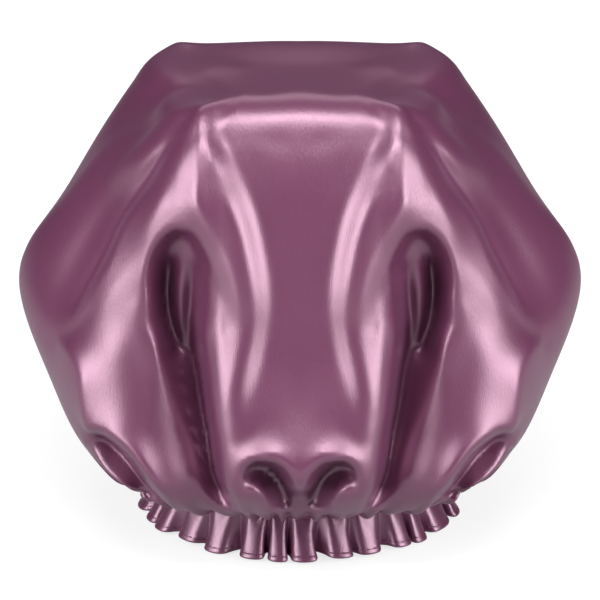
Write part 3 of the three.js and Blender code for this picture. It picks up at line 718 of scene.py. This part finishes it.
def channel_and_stitches():
    """Gathered tunnel round the elastic, and the two rows of stitches along its outer face."""
    azimuth = turns(BAND_COLUMNS)
    middle, half_height = (CHANNEL_TOP + CHANNEL_BOTTOM) / 2, (CHANNEL_TOP - CHANNEL_BOTTOM) / 2
    grids = []
    for inset in (0, CHANNEL_WALL):
        radius, height = channel_section(inset)
        swell = np.cos(np.clip((height - middle) / half_height, -1, 1) * math.pi / 2)
        depth = GATHER_DEPTH * (GATHER_AT_SEAM + (1 - GATHER_AT_SEAM) * swell)
        gathers = gather_wave(azimuth)[:, None] * depth[None, :]
        grids.append(polar(azimuth[:, None], radius[None, :] + gathers, height[None, :]))
    rows = len(radius)
    first = BAND_COLUMNS * rows
    faces = ring_faces(BAND_COLUMNS, rows, 0, closed=True)
    faces += ring_faces(BAND_COLUMNS, rows, first, inward=True, closed=True)
    points = np.vstack([grid.reshape(-1, 3) for grid in grids])
    channel = mesh_object("elastic_channel", points, faces, SATIN)
    outer_wall = grids[0][:, outer_wall_rows(grids[0])]
    normals = grid_normals(outer_wall)
    stitched = {
        "upper_stitches": CHANNEL_TOP - STITCH_INSET,
        "lower_stitches": CHANNEL_BOTTOM + STITCH_INSET,
    }
    rows_of_stitches = []
    for name, height in stitched.items():
        row = int(np.argmin(np.abs(outer_wall[0, :, 2] - height)))
        rows_of_stitches.append(stitch_row(name, outer_wall[:, row], normals[:, row]))
    return channel, rows_of_stitches


def outer_wall_rows(grid):
    """Rows of a channel's section that lie on its outer wall, from the top down."""
    radius = np.linalg.norm(grid[:, :, :2], axis=2).mean(0)
    rows = np.flatnonzero(radius > (CHANNEL_OUTER + CHANNEL_INNER) / 2)
    return rows[np.argsort(-grid[0, rows, 2])]


def ribbed_section(inner, outer):
    """Radii and heights round a flat elastic's section, with ribs along both faces."""
    height = np.linspace(ELASTIC_TOP, ELASTIC_BOTTOM, ELASTIC_ROWS)
    rib = RIB_DEPTH * np.cos((height - ELASTIC_BOTTOM) / RIB_PITCH * 2 * math.pi)
    return np.r_[outer - RIB_DEPTH + rib, inner + RIB_DEPTH - rib[::-1]], np.r_[height, height[::-1]]


def elastic_and_splice():
    """Ring of ribbed elastic, and the short lap that joins its ends at the back."""
    azimuth = turns(ELASTIC_COLUMNS)
    radius, height = ribbed_section(ELASTIC_INNER, ELASTIC_OUTER)
    points = polar(azimuth[:, None], radius[None, :], height[None, :]).reshape(-1, 3)
    faces = ring_faces(ELASTIC_COLUMNS, len(radius), 0, closed=True)
    ring = mesh_object("elastic_ring", points, faces, ELASTIC)
    half = SPLICE_LENGTH / 2 / SPLICE_OUTER
    azimuth = math.pi + np.linspace(-half, half, SPLICE_COLUMNS)
    radius, height = ribbed_section(SPLICE_INNER, SPLICE_OUTER)
    rows = len(radius)
    points = polar(azimuth[:, None], radius[None, :], height[None, :]).reshape(-1, 3)
    faces = ring_faces(SPLICE_COLUMNS, rows, 0, closed=True)
    faces = [face for face in faces if max(face) - min(face) < 2 * rows]
    faces += [tuple(range(rows))[::-1], tuple(range((SPLICE_COLUMNS - 1) * rows, SPLICE_COLUMNS * rows))]
    return ring, mesh_object("elastic_lap", points, faces, ELASTIC)


def stitch_row(name, path, normals):
    """Row of short stitches along a closed path of points, lying on a cloth with the given normals."""
    closed = np.vstack([path, path[:1]])
    length = np.r_[0, np.cumsum(np.linalg.norm(np.diff(closed, axis=0), axis=1))]
    count = int(length[-1] / STITCH_PITCH)
    stations, sides = 5, 6
    share = np.linspace(0, 1, stations)
    at = np.arange(count)[:, None] * length[-1] / count + STITCH_LENGTH * share[None, :]
    ring = np.vstack([normals, normals[:1]])
    place = np.stack([np.interp(at, length, closed[:, k]) for k in range(3)], -1)
    outward = np.stack([np.interp(at, length, ring[:, k]) for k in range(3)], -1)
    outward /= np.linalg.norm(outward, axis=2, keepdims=True)
    ahead = np.gradient(place, axis=1)
    ahead /= np.linalg.norm(ahead, axis=2, keepdims=True)
    across = np.cross(ahead, outward)
    round_end = np.sqrt(np.clip(1 - (2 * share - 1) ** 4, THREAD_END_SHARE, 1))
    radius = THREAD_RADIUS * round_end[None, :, None, None]
    rise = THREAD_RADIUS * (STITCH_RISE_SHARE * np.sin(math.pi * share) - STITCH_SINK_SHARE)
    middle = place + rise[None, :, None] * outward
    turn = np.linspace(0, 2 * math.pi, sides, endpoint=False)[None, None, :, None]
    section = np.cos(turn) * outward[:, :, None] + np.sin(turn) * across[:, :, None]
    points = middle[:, :, None] + radius * section
    faces = []
    for k in range(count):
        first = k * stations * sides
        for j in range(stations - 1):
            for i in range(sides):
                a, b = first + j * sides + i, first + j * sides + (i + 1) % sides
                faces.append((a, b, b + sides, a + sides))
        faces.append(tuple(first + i for i in range(sides))[::-1])
        faces.append(tuple(first + (stations - 1) * sides + i for i in range(sides)))
    return mesh_object(name, points.reshape(-1, 3), faces, THREAD)


def new_material(name):
    """Material with its nodes and links."""
    material = bpy.data.materials.new(name)
    material.use_nodes = True
    return material, material.node_tree.nodes, material.node_tree.links


def cloudy_color(nodes, links, place, shader, color, scale, spread):
    """Base colour that varies softly over the cloth, by a share each way."""
    cloud = nodes.new("ShaderNodeTexNoise")
    cloud.inputs["Scale"].default_value = scale
    links.new(place, cloud.inputs["Vector"])
    tones = nodes.new("ShaderNodeValToRGB")
    tones.color_ramp.elements[0].color = (*[c * (1 - spread) for c in color], 1)
    tones.color_ramp.elements[1].color = (*[c * (1 + spread) for c in color], 1)
    links.new(cloud.outputs["Fac"], tones.inputs["Fac"])
    links.new(tones.outputs["Color"], shader.inputs["Base Color"])


def grainy_surface(nodes, links, grain, shader, roughness, spread, strength, distance):
    """Roughness and bump from a grain."""
    scatter = nodes.new("ShaderNodeMapRange")
    scatter.inputs["To Min"].default_value = roughness - spread
    scatter.inputs["To Max"].default_value = roughness + spread
    links.new(grain, scatter.inputs["Value"])
    links.new(scatter.outputs["Result"], shader.inputs["Roughness"])
    bump = nodes.new("ShaderNodeBump")
    bump.inputs["Strength"].default_value = strength
    bump.inputs["Distance"].default_value = distance
    links.new(grain, bump.inputs["Height"])
    links.new(bump.outputs["Normal"], shader.inputs["Normal"])


def satin_material(name, color, roughness):
    """Satin with fine threads along the cloth's warp, a coloured gloss and a pale sheen."""
    material, nodes, links = new_material(name)
    shader = nodes["Principled BSDF"]
    for socket, value in SATIN_GLOSS.items():
        shader.inputs[socket].default_value = value
    place = nodes.new("ShaderNodeTexCoord")
    warp = nodes.new("ShaderNodeMapping")
    warp.inputs["Scale"].default_value = WARP_SCALE
    links.new(place.outputs["UV"], warp.inputs["Vector"])
    grain = nodes.new("ShaderNodeTexNoise")
    grain.inputs["Scale"].default_value = 1
    grain.inputs["Detail"].default_value = 2
    links.new(warp.outputs["Vector"], grain.inputs["Vector"])
    grainy_surface(
        nodes, links, grain.outputs["Fac"], shader, roughness=roughness, spread=0.1,
        strength=0.22, distance=0.0004)
    cloudy_color(nodes, links, place.outputs["Object"], shader, color, scale=40, spread=0.07)
    return material


def elastic_material():
    """Knitted white elastic, with rows of fine loops across its ribs."""
    material, nodes, links = new_material("knitted_elastic")
    shader = nodes["Principled BSDF"]
    shader.inputs["Sheen Weight"].default_value = 0.3
    place = nodes.new("ShaderNodeTexCoord")
    loops = nodes.new("ShaderNodeTexVoronoi")
    loops.inputs["Scale"].default_value = 1400
    links.new(place.outputs["Object"], loops.inputs["Vector"])
    grainy_surface(
        nodes, links, loops.outputs["Distance"], shader, roughness=0.75, spread=0.1,
        strength=0.4, distance=0.0003)
    cloudy_color(nodes, links, place.outputs["Object"], shader, ELASTIC_COLOR, scale=120, spread=0.08)
    return material


def thread_material():
    """Twisted sewing thread in the colour of the satin."""
    material, nodes, links = new_material("sewing_thread")
    shader = nodes["Principled BSDF"]
    shader.inputs["Sheen Weight"].default_value = 0.08
    place = nodes.new("ShaderNodeTexCoord")
    twist = nodes.new("ShaderNodeTexWave")
    twist.bands_direction = "DIAGONAL"
    twist.inputs["Scale"].default_value = 900
    twist.inputs["Distortion"].default_value = 1.5
    links.new(place.outputs["Object"], twist.inputs["Vector"])
    grainy_surface(
        nodes, links, twist.outputs["Fac"], shader, roughness=0.45, spread=0.1,
        strength=0.4, distance=0.0001)
    cloudy_color(nodes, links, place.outputs["Object"], shader, THREAD_COLOR, scale=300, spread=0.15)
    return material


def seen_directly(nodes, links):
    """Socket that is 1 for rays from the camera, less for those from gloss or glass, and 0 for the rest."""
    rays = nodes.new("ShaderNodeLightPath")
    seen = rays.outputs["Is Camera Ray"]
    for kind in ("Is Glossy Ray", "Is Transmission Ray"):
        either = nodes.new("ShaderNodeMath")
        either.operation = "MULTIPLY_ADD"
        either.inputs[1].default_value = FLOOR_IN_GLOSS
        links.new(rays.outputs[kind], either.inputs[0])
        links.new(seen, either.inputs[2])
        seen = either.outputs[0]
    return seen


def floor_material():
    """Pale floor that keeps the bonnet's shadow and adds white where it is seen directly."""
    material, nodes, links = new_material("pale_floor")
    shader = nodes["Principled BSDF"]
    shader.inputs["Base Color"].default_value = FLOOR_GREY
    shader.inputs["Roughness"].default_value = 0.9
    white = nodes.new("ShaderNodeEmission")
    place = nodes.new("ShaderNodeTexCoord")
    away = nodes.new("ShaderNodeVectorMath")
    away.operation = "LENGTH"
    links.new(place.outputs["Object"], away.inputs[0])
    paler = nodes.new("ShaderNodeMapRange")
    paler.interpolation_type = "SMOOTHSTEP"
    paler.inputs["From Min"].default_value = FLOOR_NEAR
    paler.inputs["From Max"].default_value = FLOOR_FAR
    paler.inputs["To Min"].default_value = FLOOR_WHITE_NEAR
    paler.inputs["To Max"].default_value = 1
    links.new(away.outputs["Value"], paler.inputs["Value"])
    links.new(paler.outputs["Result"], white.inputs["Strength"])
    blank = nodes.new("ShaderNodeEmission")
    blank.inputs["Strength"].default_value = 0
    seen = nodes.new("ShaderNodeMixShader")
    both = nodes.new("ShaderNodeAddShader")
    links.new(seen_directly(nodes, links), seen.inputs[0])
    links.new(blank.outputs[0], seen.inputs[1])
    links.new(white.outputs[0], seen.inputs[2])
    links.new(shader.outputs[0], both.inputs[0])
    links.new(seen.outputs[0], both.inputs[1])
    links.new(both.outputs[0], nodes["Material Output"].inputs["Surface"])
    return material


def soft_box(name, azimuth, elevation, distance, width, height, power):
    """Area light aimed at the bonnet, at an azimuth in degrees from the front toward +X."""
    a, e = math.radians(azimuth), math.radians(elevation)
    toward = Vector((math.cos(e) * math.sin(a), -math.cos(e) * math.cos(a), math.sin(e)))
    light = bpy.data.lights.new(name, "AREA")
    light.shape = "RECTANGLE"
    light.size = width
    light.size_y = height
    light.energy = power
    lamp = bpy.data.objects.new(name, light)
    lamp.location = LAMP_TARGET + distance * toward
    lamp.rotation_euler = (LAMP_TARGET - lamp.location).to_track_quat("-Z", "Y").to_euler()
    bpy.context.scene.collection.objects.link(lamp)


def studio():
    """Floor, lamps and a world that is white to the camera and dim otherwise."""
    bpy.ops.mesh.primitive_plane_add(size=FLOOR_WIDTH, location=(0, 0, 0))
    floor = bpy.context.object
    floor.name = "floor"
    floor.data.materials.append(floor_material())
    for name, lamp in LAMPS.items():
        soft_box(name, *lamp)
    world = bpy.data.worlds.new("studio")
    world.use_nodes = True
    nodes, links = world.node_tree.nodes, world.node_tree.links
    rays = nodes.new("ShaderNodeLightPath")
    white = nodes.new("ShaderNodeBackground")
    dim = nodes["Background"]
    for background, strength in ((white, 1), (dim, WORLD_LIGHT)):
        background.inputs["Color"].default_value = (1, 1, 1, 1)
        background.inputs["Strength"].default_value = strength
    seen = nodes.new("ShaderNodeMixShader")
    links.new(rays.outputs["Is Camera Ray"], seen.inputs[0])
    links.new(dim.outputs[0], seen.inputs[1])
    links.new(white.outputs[0], seen.inputs[2])
    links.new(seen.outputs[0], nodes["World Output"].inputs["Surface"])
    bpy.context.scene.world = world


def camera():
    """Camera at the eye of the front view."""
    elevation = math.radians(VIEW_ELEVATION)
    target = Vector((0, 0, VIEW_TARGET * MM))
    ahead = Vector((0, math.cos(elevation), -math.sin(elevation)))
    data = bpy.data.cameras.new("camera")
    data.lens = CAMERA_LENS
    data.sensor_width = CAMERA_SENSOR
    view = bpy.data.objects.new("camera", data)
    view.location = target - ahead * VIEW_DISTANCE * MM
    view.rotation_euler = ahead.to_track_quat("-Z", "Y").to_euler()
    bpy.context.scene.collection.objects.link(view)
    bpy.context.scene.camera = view


SATIN = satin_material("mauve_satin", SATIN_COLOR, roughness=0.35)
LINING_SATIN = satin_material("lining_satin", LINING_COLOR, roughness=0.48)
ELASTIC = elastic_material()
THREAD = thread_material()

studio()
camera()
bpy.context.scene.view_settings.view_transform = "Standard"

satin_crown, satin_lining = crown_and_lining()
satin_frill, hem_stitches = frill_and_hem()
elastic_channel, (upper_stitches, lower_stitches) = channel_and_stitches()
elastic_ring, elastic_lap = elastic_and_splice()

BAND_PIECES = (
    (satin_frill, "frill", "satin"),
    (hem_stitches, "hem_stitch", "thread"),
    (elastic_channel, "channel", "satin"),
    (upper_stitches, "upper_stitch", "thread"),
    (lower_stitches, "lower_stitch", "thread"),
    (elastic_ring, "elastic", "elastic"),
)
for piece, node, slot in BAND_PIECES:
    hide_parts(f"{node}_front", f"{node}_back")
    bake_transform(piece)
for piece, node, slot in ((satin_crown, "outer_crown", "satin"), (satin_lining, "lining", "lining_satin")):
    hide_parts(node)
    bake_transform(piece)
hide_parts("elastic_splice")
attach(elastic_lap, BACK)
